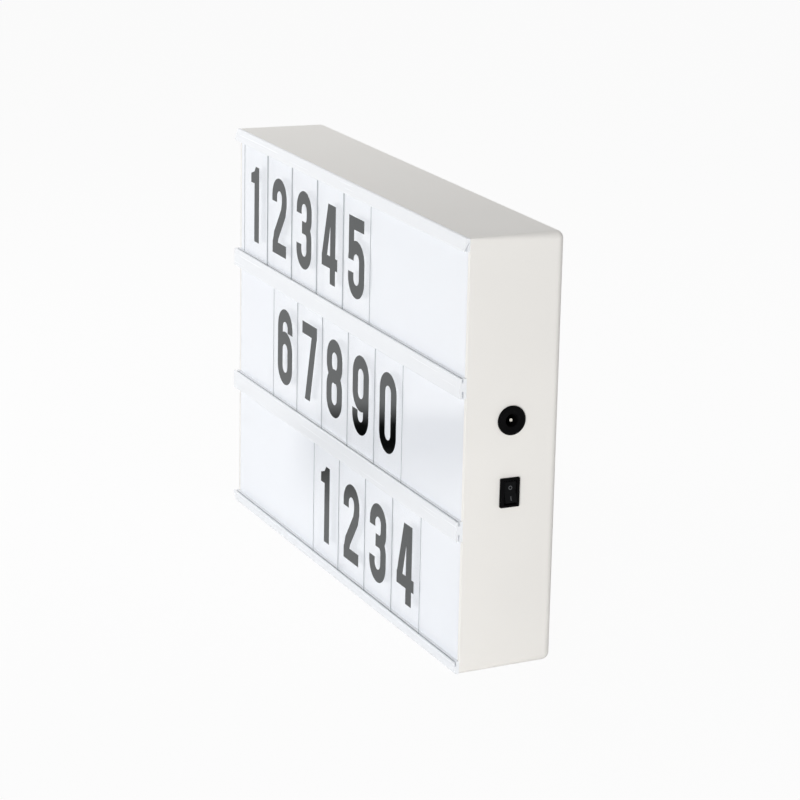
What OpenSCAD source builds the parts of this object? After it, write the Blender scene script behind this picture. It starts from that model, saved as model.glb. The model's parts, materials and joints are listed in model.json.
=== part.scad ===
// Letter light box: a white tray with an opal front, four letter rails, three rows of sliding
// cards, three light strips, a battery well at the back, and a socket and switch in one side.
// X runs along the width, Y into the depth, Z up. The box stands on z = 0.

/* [Box] */
// Width of the box, side to side
box_w = 300; // [270:1:360]
// Height of the box
box_h = 220; // [210:1:280]
// Depth of the housing, without the rails
box_d = 51; // [44:1:65]
// Thickness of the housing's walls
wall = 2; // [1.6:0.1:2.6]
// Radius of the edges round the back
back_r = 4; // [3:0.5:7]
// Radius of the edges at the front
front_r = 0.8; // [0.4:0.1:2]
// Radius of the inside corners behind the panel
inner_r = 2; // [1:0.5:2]

/* [Panel and rails] */
// Thickness of the opal front panel
panel_t = 2; // [1.5:0.1:3]
// Gap between the panel's edge and the housing
panel_gap = 0.2; // [0.1:0.05:0.5]
// How far the rails stand out in front of the panel
rail_out = 3.5; // [3.3:0.1:5]
// Height of the top and bottom rails
edge_rail_h = 6.5; // [6:0.1:8]
// Height of the two middle rails
mid_rail_h = 10.2; // [9:0.1:13]
// Thickness of the lip in front of a letter slot
lip_t = 1.1; // [1:0.1:1.3]
// Width of the letter slots
slot_w = 0.9; // [0.9:0.05:1.1]
// Depth of the slot in a middle rail's upper side
slot_down = 2.2; // [1.8:0.1:2.6]
// Depth of the slot in a middle rail's underside
slot_up = 3.6; // [3.3:0.1:4.2]
// Depth of an edge rail at its narrow outer edge
edge_rail_d = 1.8; // [1.2:0.1:2.5]
// Rounding of the middle rails' front edges
lip_r = 0.6; // [0.2:0.1:0.7]
// Bevel along the joint between the housing and the edge rails
joint_bevel = 0.3; // [0.1:0.05:0.4]

/* [Letter cards] */
// Width of a card
card_w = 34.5; // [28:0.5:38]
// Thickness of a card
card_t = 0.35; // [0.3:0.05:0.5]
// Rounding of a card's corners
card_r = 1.2; // [0.5:0.1:3]
// Gap between a card's lower edge and the bottom of its slot
card_play = 0.3; // [0.2:0.1:0.5]
// How far a card's top edge reaches into the slot above it
card_lap = 1.3; // [1:0.1:1.4]
// How far a bottom-row card's lower edge reaches into the bottom rail
foot_lap = 2.1; // [1.8:0.1:2.4]
// Cards in the top, middle and bottom rows
row_count = [5, 5, 4];
// Distance of each row's first card from the box's left side
row_start = [11.8, 57.2, 117.3];
// Gap between neighbouring cards in each row
row_gap = [0.9, 0.3, 0.3];

/* [Socket] */
// Height of the socket's centre
jack_z = 128; // [110:1:160]
// Depth of the socket's centre behind the front plane
side_y = 24.6; // [20:0.1:30]
// Diameter of the socket's round flange
jack_d = 14.8; // [13:0.1:18]
// Thickness of the flange
jack_flange_t = 1.6; // [1:0.1:2]
// Diameter of the socket's threaded body
jack_body_d = 10.8; // [9:0.1:12]
// Length of the body behind the wall's outer face
jack_body_l = 12; // [11:0.5:14]
// Diameter of the plug's bore
jack_bore_d = 6.3; // [5.6:0.1:6.5]
// Depth of the plug's bore
jack_bore_l = 9; // [8:0.5:10]
// Diameter of the centre pin
jack_pin_d = 2.1; // [1.9:0.1:2.5]

/* [Switch] */
// Height of the switch's centre
switch_z = 91.4; // [70:0.1:100]
// Width of the bezel, front to back
bezel_w = 10.4; // [10:0.1:12]
// Height of the bezel
bezel_h = 14.9; // [14.5:0.1:16]
// Thickness of the bezel
bezel_t = 1.8; // [1:0.1:2]
// Width of the rocker
rocker_w = 6.2; // [5.5:0.1:6.4]
// Length of the rocker
rocker_l = 10.8; // [10:0.1:11]
// How far the rocker tips to either side of level
rocker_tip = 10; // [6:1:11]
// Diameter of the rocker's pivot pins
pivot_d = 2; // [1.6:0.1:2.4]

/* [Battery well] */
// Number of AA cells side by side
cells = 6; // [4:2:6]
// Diameter of a cell
cell_d = 14.5; // [14:0.1:15]
// Length of a cell
cell_l = 50.5; // [49:0.1:51]
// Space between neighbouring cells
cell_gap = 0.8; // [0.5:0.1:1.5]
// Play round a cell in its saddles
cell_play = 0.3; // [0.2:0.1:0.5]
// Room for the springs and contacts at the cells' ends
spring_room = 8; // [7:0.5:10]
// Height of the well's centre
well_z = 65; // [50:1:70]
// Thickness of the well's walls
well_t = 1.6; // [1.2:0.1:2]
// Width of the ledge on which the door lies
door_lap = 2; // [2:0.1:3]
// Gap all round the door
door_gap = 0.35; // [0.3:0.05:0.5]
// Rounding of the door's corners
door_r = 2.5; // [1:0.5:4]
// Diameter of the springs' wire
spring_wire = 0.8; // [0.6:0.1:0.9]
// Diameter of a spring at its base
spring_d = 8; // [6:0.5:8.5]
// Turns of a spring
spring_turns = 4; // [3:0.5:4.5]
// Length of a relaxed spring
spring_l = 6.4; // [5:0.1:6.8]

/* [Light strips] */
// Height of the bottom and middle strips
strip_low = [20, 112];
// Distance of the top strip below the box's top
strip_drop = 37.6; // [30:0.1:50]
// Length of a strip
strip_l = 260; // [200:1:264]
// Width of a strip
strip_w = 10; // [8:1:10]
// Thickness of a strip
strip_t = 1.2; // [0.8:0.1:1.6]
// Height of the bosses under the strips
boss_h = 3; // [2:0.5:5]
// Lamps on a strip
lamps = 5; // [3:1:8]
// Side of a square lamp
lamp_side = 5; // [3:0.5:5]

/* [Wall hanging] */
// Distance between the two keyholes
key_pitch = 160; // [120:5:180]
// Distance of the keyholes' round ends below the box's top
key_drop = 24; // [20:1:30]
// Diameter of a keyhole's round end
key_d = 8; // [7:0.5:9]
// Width of a keyhole's slot
key_slot = 4; // [3.5:0.1:4.5]
// How far the slot rises above the round end's centre
key_rise = 8; // [7:0.5:10]
// Depth of the pocket behind a keyhole
key_pocket = 4.6; // [4.5:0.1:6]

/* [Hidden] */
$fn = 64;
corner_steps = 6;
cut = 0.5;

front_y = (rail_out - box_d) / 2;
inner_back = box_d - wall;
lip_y = -rail_out + lip_t;
slot_y = lip_y + slot_w;
card_y = (lip_y + slot_y) / 2;

window_h = (box_h - 2 * edge_rail_h - 2 * mid_rail_h) / 3;
mid_rail_rise = edge_rail_h + window_h + mid_rail_h / 2;
mid_rail_z = [box_h - mid_rail_rise, mid_rail_rise];
foot_rise = mid_rail_h / 2 - slot_down + card_play;
card_foot = [mid_rail_z[0] + foot_rise, mid_rail_z[1] + foot_rise, edge_rail_h - foot_lap];
card_h = slot_down - card_play + window_h + card_lap;

bay_w = cells * (cell_d + cell_gap) + cell_gap;
bay_h = cell_l + spring_room;
door_t = wall - 0.3;
flange_lap = 4;
bay_floor = box_d - door_t - cell_d - 2 * cell_play;
cell_y = bay_floor + cell_play + cell_d / 2;
saddle_h = 3.5;
saddle_t = 1.4;
door_w = bay_w + 2 * door_lap;
door_h = bay_h + 2 * door_lap;
door_z = well_z - door_h / 2;
tongue_w = 8;
tongue_x = cell_d + cell_gap;
tongue_t = 1.5;
tongue_l = 2.6;
tongue_slot = 3.3;
tab_w = 13;
slit = 1;
slit_l = 11;
lug_w = 7;
lug_h = 2.6;
lug_t = 1.4;
scoop_w = tab_w + 3;
scoop_h = 6;
scoop_d = 5;
scoop_z = door_h / 2 + door_gap + scoop_h / 2;
plate_w = 9;
plate_h = 8;
plate_t = 0.4;

key_z = box_h - key_drop;
pocket_w = key_d + 3;

rib_t = 1.6;
rib_reach = 4;
rib_run = 10;

strip_z = [strip_low[0], strip_low[1], box_h - strip_drop];
strip_back = inner_back - boss_h;
strip_front = strip_back - strip_t;
screw_x = strip_l / 2 - 5;
boss_d = 6;
pilot_d = 2;
screw_d = 2.4;
screw_head_d = 4.6;
lamp_t = 1.6;
lug_side = 3.2;
pin_tail_d = 1.7;
pin_play = 0.05;
pivot_x = box_w / 2 - 1.2;
pivot_play = 0.05;
case_w = 8.4;
case_h = 13.4;
case_l = 12.5;
rocker_room = 0.3;
blade_x = [-4, 1.6];
blade_w = 2.8;
blade_t = 0.6;
blade_l = 6;
pad_x = strip_l / 2 - 9;
lead_d = 1.3;

CARD_NAMES = [for (row = [0 : 2]) for (i = [0 : row_count[row] - 1]) str("card_", row + 1, "_", i + 1)];

// ---- Shared shapes ----

// Everything is drawn with y = 0 at the panel's front face, then moved so that the rails' front
// and the housing's back lie evenly before and behind the origin.
module placed() {
    translate([0, front_y, 0]) children();
}

// A bar of the given outline, drawn as depth and height, centred on the width
module bar(length) {
    translate([-length / 2, 0, 0]) rotate([90, 0, 90]) linear_extrude(length) children();
}

// A plate of the given outline, drawn as width and height, from depth y1 to y2
module plate(y1, y2) {
    translate([0, y2, 0]) rotate([90, 0, 0]) linear_extrude(y2 - y1) children();
}

// A rectangle round its centre, with round corners
module rounded_rect(w, h, r) {
    square([w - 2 * r, h], center = true);
    square([w, h - 2 * r], center = true);
    for (x = [-1, 1], y = [-1, 1]) translate([x * (w / 2 - r), y * (h / 2 - r)]) circle(r);
}

// Something that looks out of the right side: its own Z becomes X, at the given height
module on_side(z) {
    translate([box_w / 2, side_y, z]) rotate([0, 90, 0]) children();
}

// The arc that replaces corner p of radius r between its neighbours a and b
function arc_points(a, p, b, r, steps) =
    let (
        u = (a - p) / norm(a - p),
        v = (b - p) / norm(b - p),
        half = acos(u * v) / 2,
        centre = p + (u + v) / norm(u + v) * r / sin(half),
        from = p + u * r / tan(half) - centre,
        to = p + v * r / tan(half) - centre,
        start = atan2(from.y, from.x),
        turn = atan2(to.y, to.x) - start,
        sweep = turn > 180 ? turn - 360 : turn < -180 ? turn + 360 : turn
    )
    [for (k = [0 : steps]) centre + r * [cos(start + sweep * k / steps), sin(start + sweep * k / steps)]];

// An outline of [x, y, radius] corners with each corner rounded
function rounded(corners, steps = 5) =
    let (n = len(corners), p = [for (c = corners) [c[0], c[1]]])
    [for (i = [0 : n - 1])
        each corners[i][2] == 0 ? [p[i]]
            : arc_points(p[(i + n - 1) % n], p[i], p[(i + 1) % n], corners[i][2], steps)];

// A smooth curve through points
function through(points, steps) =
    let (n = len(points) - 1)
    concat(
        [for (i = [0 : n - 1]) for (k = [0 : steps - 1])
            let (
                t = k / steps,
                p0 = points[max(i - 1, 0)],
                p1 = points[i],
                p2 = points[i + 1],
                p3 = points[min(i + 2, n)]
            )
            (2 * p1 + (p2 - p0) * t + (2 * p0 - 5 * p1 + 4 * p2 - p3) * t * t
                + (3 * p1 - p0 - 3 * p2 + p3) * t * t * t) / 2],
        [points[n]]
    );

// One closed skin over a row of rings, which all have the same number of points and run
// anticlockwise seen against the way from the first ring to the last
module skin(rings) {
    count = len(rings);
    sides = len(rings[0]);
    walls = [for (i = [0 : count - 2]) for (k = [0 : sides - 1])
        let (a = i * sides + k, b = i * sides + (k + 1) % sides)
        each [[a, b + sides, b], [a, a + sides, b + sides]]];
    first = [[for (k = [0 : sides - 1]) k]];
    last = [[for (k = [sides - 1 : -1 : 0]) (count - 1) * sides + k]];
    polyhedron([for (r = rings) each r], concat(walls, first, last));
}

// A round tube swept along a path. aside is a direction that the path never runs along.
module tube(path, d, sides, aside) {
    n = len(path);
    skin([for (i = [0 : n - 1])
        let (
            t = path[min(i + 1, n - 1)] - path[max(i - 1, 0)],
            u = cross(t, aside) / norm(cross(t, aside)),
            v = cross(t, u) / norm(cross(t, u))
        )
        [for (k = [0 : sides - 1])
            path[i] + d / 2 * (u * cos(360 * k / sides) + v * sin(360 * k / sides))]]);
}

// ---- Housing ----

// A rectangle in the plane at depth y, with round corners, as points
function corner_ring(w, h, r, y) = [
    for (q = [0 : 3]) for (k = [0 : corner_steps])
        let (
            a = 90 * (q + k / corner_steps),
            x = (q == 0 || q == 3 ? 1 : -1) * (w / 2 - r),
            z = (q < 2 ? 1 : -1) * (h / 2 - r)
        )
        [x + r * cos(a), y, box_h / 2 + z + r * sin(a)]
];

// A block with small edges in front that grow into round ones at the back, where they meet in
// balls. The last ring stops just short of the ball's pole.
module soft_block(w, h, d, r_front, r_back, bevel = 0, ahead = 0) {
    last = 80;
    skin(concat(
        [for (k = [corner_steps : -1 : 0])
            let (a = last * k / corner_steps, inset = r_back * (1 - cos(a)))
            corner_ring(
                w - 2 * inset, h - 2 * inset, r_back * cos(a), d - r_back * (1 - sin(a) / sin(last))
            )],
        bevel > 0 ? [corner_ring(w, h, r_front, bevel)] : [],
        [corner_ring(w - 2 * bevel, h - 2 * bevel, r_front, -ahead)]
    ));
}

// A rib on a wall that carries the panel's edge: its own X is the way out of the wall
module panel_rib() {
    land = panel_t + rib_reach;
    profile = [[-cut, panel_t], [rib_reach, panel_t], [rib_reach, land], [-cut, land + rib_run]];
    translate([0, 0, -rib_t / 2]) linear_extrude(rib_t) polygon(profile);
}

module panel_ribs() {
    for (x = [-0.34, -0.11, 0.11, 0.34]) {
        translate([x * box_w, 0, wall]) rotate([0, -90, 0]) panel_rib();
        translate([x * box_w, 0, box_h - wall]) rotate([0, 90, 0]) panel_rib();
    }
    for (z = [0.2, 0.5, 0.8]) {
        translate([-box_w / 2 + wall, 0, z * box_h]) panel_rib();
        translate([box_w / 2 - wall, 0, z * box_h]) rotate([0, 180, 0]) panel_rib();
    }
}

// What the door and its finger scoop leave open in the back wall, as width and height
module door_opening() {
    rounded_rect(door_w + 2 * door_gap, door_h + 2 * door_gap, door_r + door_gap);
    translate([0, scoop_z - 2]) rounded_rect(scoop_w, scoop_h + 4, 2);
}

module strip_bosses() {
    for (z = strip_z, x = [-1, 1])
        translate([x * screw_x, strip_back, z]) rotate([-90, 0, 0]) cylinder(d = boss_d, h = boss_h + cut);
}

module strip_pilots() {
    for (z = strip_z, x = [-1, 1])
        translate([x * screw_x, strip_back - cut, z]) rotate([-90, 0, 0])
            cylinder(d = pilot_d, h = boss_h + cut);
}

// Holes for the heads of two wall screws, each with a slot above for the shank
module keyholes() {
    for (x = [-1, 1])
        translate([x * key_pitch / 2, 0, key_z]) plate(inner_back - cut, box_d + cut) {
            circle(d = key_d);
            translate([-key_slot / 2, 0]) square([key_slot, key_rise]);
            translate([0, key_rise]) circle(d = key_slot);
        }
}

module side_holes() {
    on_side(jack_z) translate([0, 0, -wall - cut]) cylinder(d = jack_body_d + 0.4, h = wall + 2 * cut);
    on_side(switch_z) translate([0, 0, -wall / 2])
        cube([case_h + 0.4, case_w + 0.3, wall + 2 * cut], center = true);
}

module rear_housing() {
    color("white") placed() difference() {
        union() {
            difference() {
                soft_block(box_w, box_h, box_d, front_r, back_r, joint_bevel);
                soft_block(box_w - 2 * wall, box_h - 2 * wall, inner_back, front_r, inner_r, ahead = 1);
            }
            panel_ribs();
            strip_bosses();
        }
        translate([0, 0, well_z]) plate(inner_back - cut, box_d + cut) door_opening();
        strip_pilots();
        keyholes();
        side_holes();
    }
}

// A cap behind each keyhole, which keeps the light in and the screw off the wiring
module keyhole_caps() {
    color("white") placed()
        for (x = [-1, 1])
            translate([x * key_pitch / 2, 0, key_z + key_rise / 2]) difference() {
                plate(inner_back - key_pocket - well_t, inner_back)
                    rounded_rect(pocket_w + 2 * well_t, pocket_w + key_rise + 2 * well_t, 3);
                plate(inner_back - key_pocket, inner_back + cut)
                    rounded_rect(pocket_w, pocket_w + key_rise, 1.5);
            }
}

// ---- Battery well ----

// Low ribs between the cells, hollowed to the cells' curve
module cell_saddles() {
    rib = cell_gap + 2.4;
    pitch = cell_d + cell_gap;
    difference() {
        for (i = [1 : cells - 1], z = [-0.3, 0, 0.3])
            translate([(i - cells / 2) * pitch - rib / 2, bay_floor - cut, z * cell_l - saddle_t / 2])
                cube([rib, saddle_h + cut, saddle_t]);
        for (i = [0 : cells - 1])
            translate([cell_x(i), cell_y, -bay_h / 2]) cylinder(d = cell_d + 2 * cell_play, h = bay_h);
    }
}

// Centre of each cell across the well
function cell_x(i) = (i - (cells - 1) / 2) * (cell_d + cell_gap);

// Slots that the door's tongues reach through and swing in
module tongue_slots() {
    slot_h = tongue_l + 0.8;
    for (x = [-1, 1])
        translate([x * tongue_x - tongue_w / 2 - door_gap, inner_back - tongue_slot, door_z - slot_h])
            cube([tongue_w + 2 * door_gap, tongue_slot + cut, slot_h + door_lap + cut]);
}

// A trough for the cells. Its flange lies on the inside of the back wall, and the flange's inner
// edge is the ledge under the door.
module battery_well() {
    flange_w = door_w + 2 * (door_gap + flange_lap);
    flange_h = door_h + 2 * (door_gap + flange_lap);
    color("white") placed() difference() {
        translate([0, 0, well_z]) difference() {
            union() {
                plate(bay_floor - well_t, inner_back - cut)
                    rounded_rect(bay_w + 2 * well_t, bay_h + 2 * well_t, 2);
                plate(inner_back - well_t, inner_back) rounded_rect(flange_w, flange_h, door_r + flange_lap);
                translate([0, 0, scoop_z]) plate(inner_back - scoop_d, inner_back)
                    square([scoop_w + 2 * well_t, scoop_h + 2 * well_t], center = true);
            }
            difference() {
                plate(bay_floor, inner_back + cut) rounded_rect(bay_w, bay_h, 1);
                cell_saddles();
            }
            // The scoop's bowl
            translate([0, 0, scoop_z]) plate(inner_back - scoop_d + well_t, inner_back + cut)
                rounded_rect(scoop_w, scoop_h, 2);
        }
        tongue_slots();
    }
}

// ---- Front ----

module diffuser_panel() {
    w = box_w - 2 * (wall + panel_gap);
    h = box_h - 2 * (wall + panel_gap);
    color([0.95, 0.96, 0.98]) placed() translate([0, 0, box_h / 2]) plate(0, panel_t) rounded_rect(w, h, 1);
}

// Middle rail: a solid bar with a slot in its upper side for the feet of the cards above, and a
// deeper one in its underside, so that a card can be lifted over the lip below it
module middle_rail(z) {
    h = mid_rail_h / 2;
    outline = [
        [0, h, 0],
        [slot_y, h, 0.2],
        [slot_y, h - slot_down, 0],
        [lip_y, h - slot_down, 0],
        [lip_y, h, 0.2],
        [-rail_out, h, lip_r],
        [-rail_out, -h, lip_r],
        [lip_y, -h, 0.2],
        [lip_y, -h + slot_up, 0],
        [slot_y, -h + slot_up, 0],
        [slot_y, -h, 0.2],
        [0, -h, 0]
    ];
    color([0.93, 0.94, 0.97]) placed() translate([0, 0, z]) bar(box_w) polygon(rounded(outline));
}

// Edge rail, drawn as the bottom one: its face leans out from the box's edge, where it is bevelled
// along the housing. The slot is given as points from its front wall to its back wall.
module edge_rail(slot) {
    h = edge_rail_h;
    bar(box_w) polygon(rounded(concat(
        [
            [0, joint_bevel, 0],
            [-joint_bevel, 0, 0],
            [-edge_rail_d, 0, 0.4],
            [-rail_out, h - 0.9, 0.8],
            [-rail_out + 0.2, h, 0.3],
            [lip_y, h, 0.15]
        ],
        slot,
        [[slot_y, h, 0.2], [0, h, 0]]
    )));
}

// The top rail's slot leans back towards its end, to leave room for a card on its way in
top_slot = [
    [lip_y, edge_rail_h - 1.6, 0],
    [-0.7, edge_rail_h - 4.4, 0.1],
    [-0.3, edge_rail_h - 4.4, 0.1],
    [slot_y, edge_rail_h - 1.9, 0]
];
foot_slot = [for (y = [lip_y, slot_y]) [y, edge_rail_h - foot_lap - card_play, 0]];

module rail_top() {
    color([0.93, 0.94, 0.97]) placed() translate([0, 0, box_h]) mirror([0, 0, 1]) edge_rail(top_slot);
}

module rail_upper_middle() {
    middle_rail(mid_rail_z[0]);
}

module rail_lower_middle() {
    middle_rail(mid_rail_z[1]);
}

module rail_bottom() {
    color([0.93, 0.94, 0.97]) placed() edge_rail(foot_slot);
}

// Letter card i of a row, counted from its left end
module card(row, i) {
    left = row_start[row] - box_w / 2 + i * (card_w + row_gap[row]);
    color([0.97, 0.97, 0.98]) placed()
        translate([left + card_w / 2, 0, card_foot[row] + card_h / 2])
            plate(card_y - card_t / 2, card_y + card_t / 2) rounded_rect(card_w, card_h, card_r);
}

// ---- Socket ----

// The flange is dished towards the plug's bore, which is a blind hole
module dc_jack_body() {
    r = jack_d / 2;
    bore = jack_bore_d / 2;
    turned = rounded([
        [pin_tail_d / 2 + pin_play, -jack_body_l, 0],
        [jack_body_d / 2, -jack_body_l, 0.4],
        [jack_body_d / 2, 0, 0],
        [r, 0, 0.2],
        [r, jack_flange_t * 0.6, 0.2],
        [r - 0.8, jack_flange_t, 0.4],
        [r - 1.4, jack_flange_t, 0.3],
        [bore + 0.3, jack_flange_t * 0.45, 0.2],
        [bore, jack_flange_t * 0.3, 0],
        [bore, -jack_bore_l, 0],
        [pin_tail_d / 2 + pin_play, -jack_bore_l, 0]
    ], 3);
    color([0.06, 0.06, 0.06]) placed() on_side(jack_z) rotate_extrude() polygon(turned);
}

module dc_jack_pin() {
    tip = 0.4;
    color([0.8, 0.8, 0.78]) placed() on_side(jack_z) {
        translate([0, 0, -jack_body_l - 1]) cylinder(d = pin_tail_d, h = jack_body_l - jack_bore_l + 1);
        translate([0, 0, -jack_bore_l]) cylinder(d = jack_pin_d, h = jack_bore_l - tip);
        translate([0, 0, -tip]) cylinder(d1 = jack_pin_d, d2 = jack_pin_d - 2 * tip, h = tip);
    }
}

module dc_jack_nut() {
    flats = jack_body_d + 3.2;
    color([0.1, 0.1, 0.1]) placed() on_side(jack_z) translate([0, 0, -wall - 2.4]) difference() {
        cylinder(d = flats / cos(30), h = 2.4, $fn = 6);
        translate([0, 0, -cut]) cylinder(d = jack_body_d + 0.1, h = 2.4 + 2 * cut);
    }
}

// Two solder lugs behind the socket
module dc_jack_terminals() {
    color([0.85, 0.83, 0.78]) placed() on_side(jack_z)
        for (side = [-1, 1])
            translate([side * lug_side - 1, -0.25, -jack_body_l - 4]) cube([2, 0.5, 4]);
}

// ---- Switch ----

module switch_case() {
    well_w = rocker_w + 2 * rocker_room;
    well_h = rocker_l + 1.7;
    color([0.05, 0.05, 0.05]) placed() on_side(switch_z) difference() {
        union() {
            linear_extrude(bezel_t - 0.5) rounded_rect(bezel_h, bezel_w, 0.5);
            translate([0, 0, bezel_t - 0.5]) linear_extrude(0.5)
                rounded_rect(bezel_h - 0.7, bezel_w - 0.7, 0.4);
            translate([-case_h / 2, -case_w / 2, -case_l]) cube([case_h, case_w, case_l + cut]);
            // Snap wedges that hold the case behind the wall
            for (end = [0, 1]) mirror([end, 0, 0])
                translate([case_h / 2 - 0.1, 2.5, -wall - 3.2]) rotate([90, 0, 0])
                    linear_extrude(5) polygon([[0, 0], [0.7, 3], [0.7, 3.1], [0, 3.1]]);
        }
        translate([0, 0, -7]) linear_extrude(7 + bezel_t + cut) square([well_h, well_w], center = true);
        rotate([90, 0, 0]) translate([0, pivot_x - box_w / 2, -case_w / 2 - cut])
            cylinder(d = pivot_d + 2 * pivot_play, h = case_w + 2 * cut);
    }
}

// The rocker lies tipped onto its upper, off end. Its own outline is drawn level round the pivot.
module switch_rocker() {
    end = rocker_l / 2;
    outline = rounded([
        [-end, 3.4, 0.3],
        [0, 2.6, 6],
        [end, 3.4, 0.3],
        [end - 0.5, 0, 0.5],
        [1.6, -3.4, 1],
        [-1.6, -3.4, 1],
        [-end + 0.5, 0, 0.5]
    ]);
    color([0.08, 0.08, 0.08]) placed() translate([pivot_x, side_y, switch_z])
        rotate([0, -rocker_tip, 0]) rotate([0, 90, 0]) rotate([90, 0, 0]) {
            translate([0, 0, -rocker_w / 2]) linear_extrude(rocker_w) polygon(outline);
            translate([0, 0, -case_w / 2 + 0.1]) cylinder(d = pivot_d, h = case_w - 0.2);
        }
}

module switch_terminals() {
    color([0.85, 0.83, 0.78]) placed() on_side(switch_z)
        for (x = blade_x) translate([x, -blade_w / 2, -case_l - blade_l]) cube([blade_t, blade_w, blade_l]);
}

// ---- Light strips ----

module led_board(i) {
    color([0.93, 0.93, 0.9]) placed() translate([0, 0, strip_z[i]]) difference() {
        plate(strip_front, strip_back) square([strip_l, strip_w], center = true);
        for (x = [-1, 1]) translate([x * screw_x, 0, 0]) plate(strip_front - cut, strip_back + cut)
            circle(d = screw_d + 0.4);
    }
}

// Square lamps with a round window, evenly spaced along a strip
module leds(i) {
    pitch = strip_l / lamps;
    color([0.96, 0.9, 0.55]) placed()
        for (k = [0 : lamps - 1])
            translate([(k - (lamps - 1) / 2) * pitch, 0, strip_z[i]]) difference() {
                plate(strip_front - lamp_t, strip_front) square(lamp_side, center = true);
                plate(strip_front - lamp_t - cut, strip_front - lamp_t + 0.4) circle(d = lamp_side * 0.8);
            }
}

module led_board_top() { led_board(2); }
module led_board_middle() { led_board(1); }
module led_board_bottom() { led_board(0); }
module leds_top() { leds(2); }
module leds_middle() { leds(1); }
module leds_bottom() { leds(0); }

module led_resistors() {
    color([0.12, 0.12, 0.12]) placed()
        for (z = strip_z) translate([strip_l / lamps / 2, 0, z])
            plate(strip_front - 0.6, strip_front) square([3.2, 1.6], center = true);
}

module board_screws() {
    color([0.75, 0.75, 0.77]) placed()
        for (z = strip_z, x = [-1, 1])
            translate([x * screw_x, strip_front, z]) rotate([-90, 0, 0]) {
                translate([0, 0, -1.5]) cylinder(d = screw_head_d, h = 1.5);
                cylinder(d = pilot_d - 0.05, h = strip_t + boss_h - 0.5);
            }
}

// ---- Battery door and contacts ----

module battery_door() {
    lug_z = bay_h / 2 - 0.3;
    color("white") placed() translate([0, 0, well_z]) {
        difference() {
            plate(box_d - door_t, box_d) rounded_rect(door_w, door_h, door_r);
            // Slits that free the tab
            for (x = [-1, 1])
                translate([x * (tab_w + slit) / 2 - slit / 2, box_d - door_t - cut, door_h / 2 - slit_l])
                    cube([slit, door_t + 2 * cut, slit_l + cut]);
            // Grip grooves across the tab
            for (k = [0 : 2])
                translate([-4, box_d - 0.5, door_h / 2 - 7 + 2 * k]) cube([8, 0.5 + cut, 0.7]);
        }
        // Catch lug inside the tab
        translate([-lug_w / 2, box_d - door_t - lug_h, lug_z - lug_t])
            cube([lug_w, lug_h + 0.2, lug_t]);
        // Tongues under the housing's edge
        for (x = [-1, 1])
            translate([x * tongue_x - tongue_w / 2, inner_back - 0.3 - tongue_t, -door_h / 2]) {
                translate([0, 0, -tongue_l]) cube([tongue_w, tongue_t, tongue_l + door_lap - 0.3]);
                translate([0, 0, 0.35]) cube([tongue_w, tongue_t + 0.7, door_lap - 0.65]);
            }
    }
}

// Which end a cell's spring is at: 1 for the top, -1 for the bottom
function spring_end(i) = i % 2 == 0 ? 1 : -1;

// Path of a spring that narrows from its plate to its tip, standing along Z
function spring_path() = [
    for (k = [0 : 8 * spring_turns])
        let (t = k / (8 * spring_turns), r = (spring_d - spring_wire) / 2 * (1 - 0.3 * t))
        [r * cos(45 * k), r * sin(45 * k), spring_wire / 2 + (spring_l - spring_wire) * t]
];

spring_gap = (spring_l - spring_wire) / spring_turns - spring_wire;
echo(spring_gap = spring_gap);

module battery_springs() {
    color([0.8, 0.8, 0.82]) placed()
        for (i = [0 : cells - 1])
            translate([cell_x(i), cell_y, well_z + spring_end(i) * (bay_h / 2 - plate_t)])
                mirror([0, 0, spring_end(i) == 1 ? 1 : 0])
                    tube(spring_path(), spring_wire, 6, [0, 0, 1]);
}

// One plate from cell a to cell b at an end of the well, with a raised button under each cell
// whose spring is at the other end
module contact(a, b, end) {
    z0 = well_z + end * bay_h / 2;
    w = cell_x(b) - cell_x(a) + plate_w;
    translate([(cell_x(a) + cell_x(b)) / 2, cell_y, z0 - end * plate_t / 2])
        cube([w, plate_h, plate_t], center = true);
    for (i = [a : b])
        if (spring_end(i) != end)
            translate([cell_x(i), cell_y, z0 - end * (plate_t + 1) / 2])
                cylinder(d = 5, h = plate_t + 1, center = true);
}

module battery_contacts_upper() {
    color([0.82, 0.82, 0.8]) placed() for (i = [0 : 2 : cells - 2]) contact(i, i + 1, 1);
}

module battery_contacts_lower() {
    color([0.82, 0.82, 0.8]) placed() {
        contact(0, 0, -1);
        for (i = [1 : 2 : cells - 3]) contact(i, i + 1, -1);
        contact(cells - 1, cells - 1, -1);
    }
}

// ---- Wiring ----

// Points that the leads run between
jack_lug = [for (side = [-1, 1]) [box_w / 2 - jack_body_l - 3, side_y, jack_z - side * lug_side]];
switch_tab = [for (x = blade_x) [box_w / 2 - case_l - blade_l + 1, side_y, switch_z - x - blade_t / 2]];
blade_side = [0, (blade_w + lead_d) / 2 + 0.1, 0];
function pad(i, dz) = [pad_x, strip_front - lead_d / 2, strip_z[i] + dz];

module lead(points) {
    tube(through(points, 6), lead_d, 8, [0.3, 0.9, 0.2]);
}

// From the socket's lower lug down to the switch's upper tab
module jack_lead() {
    a = jack_lug[1] - [0, 1, 0];
    b = switch_tab[0] - blade_side;
    color([0.75, 0.1, 0.1]) placed()
        lead([a, a - [3, 3, 4], [a.x - 2, a.y - 6, (a.z + b.z) / 2], b + [-3, -3, 4], b]);
}

// From the switch's lower tab to the middle strip
module switch_lead() {
    a = switch_tab[1] - blade_side;
    b = pad(1, -3);
    color([0.75, 0.1, 0.1]) placed()
        lead([a, a - [4, 3, 0], [a.x - 6, a.y + 4, a.z + 8], b + [6, -4, -6], b]);
}

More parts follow.
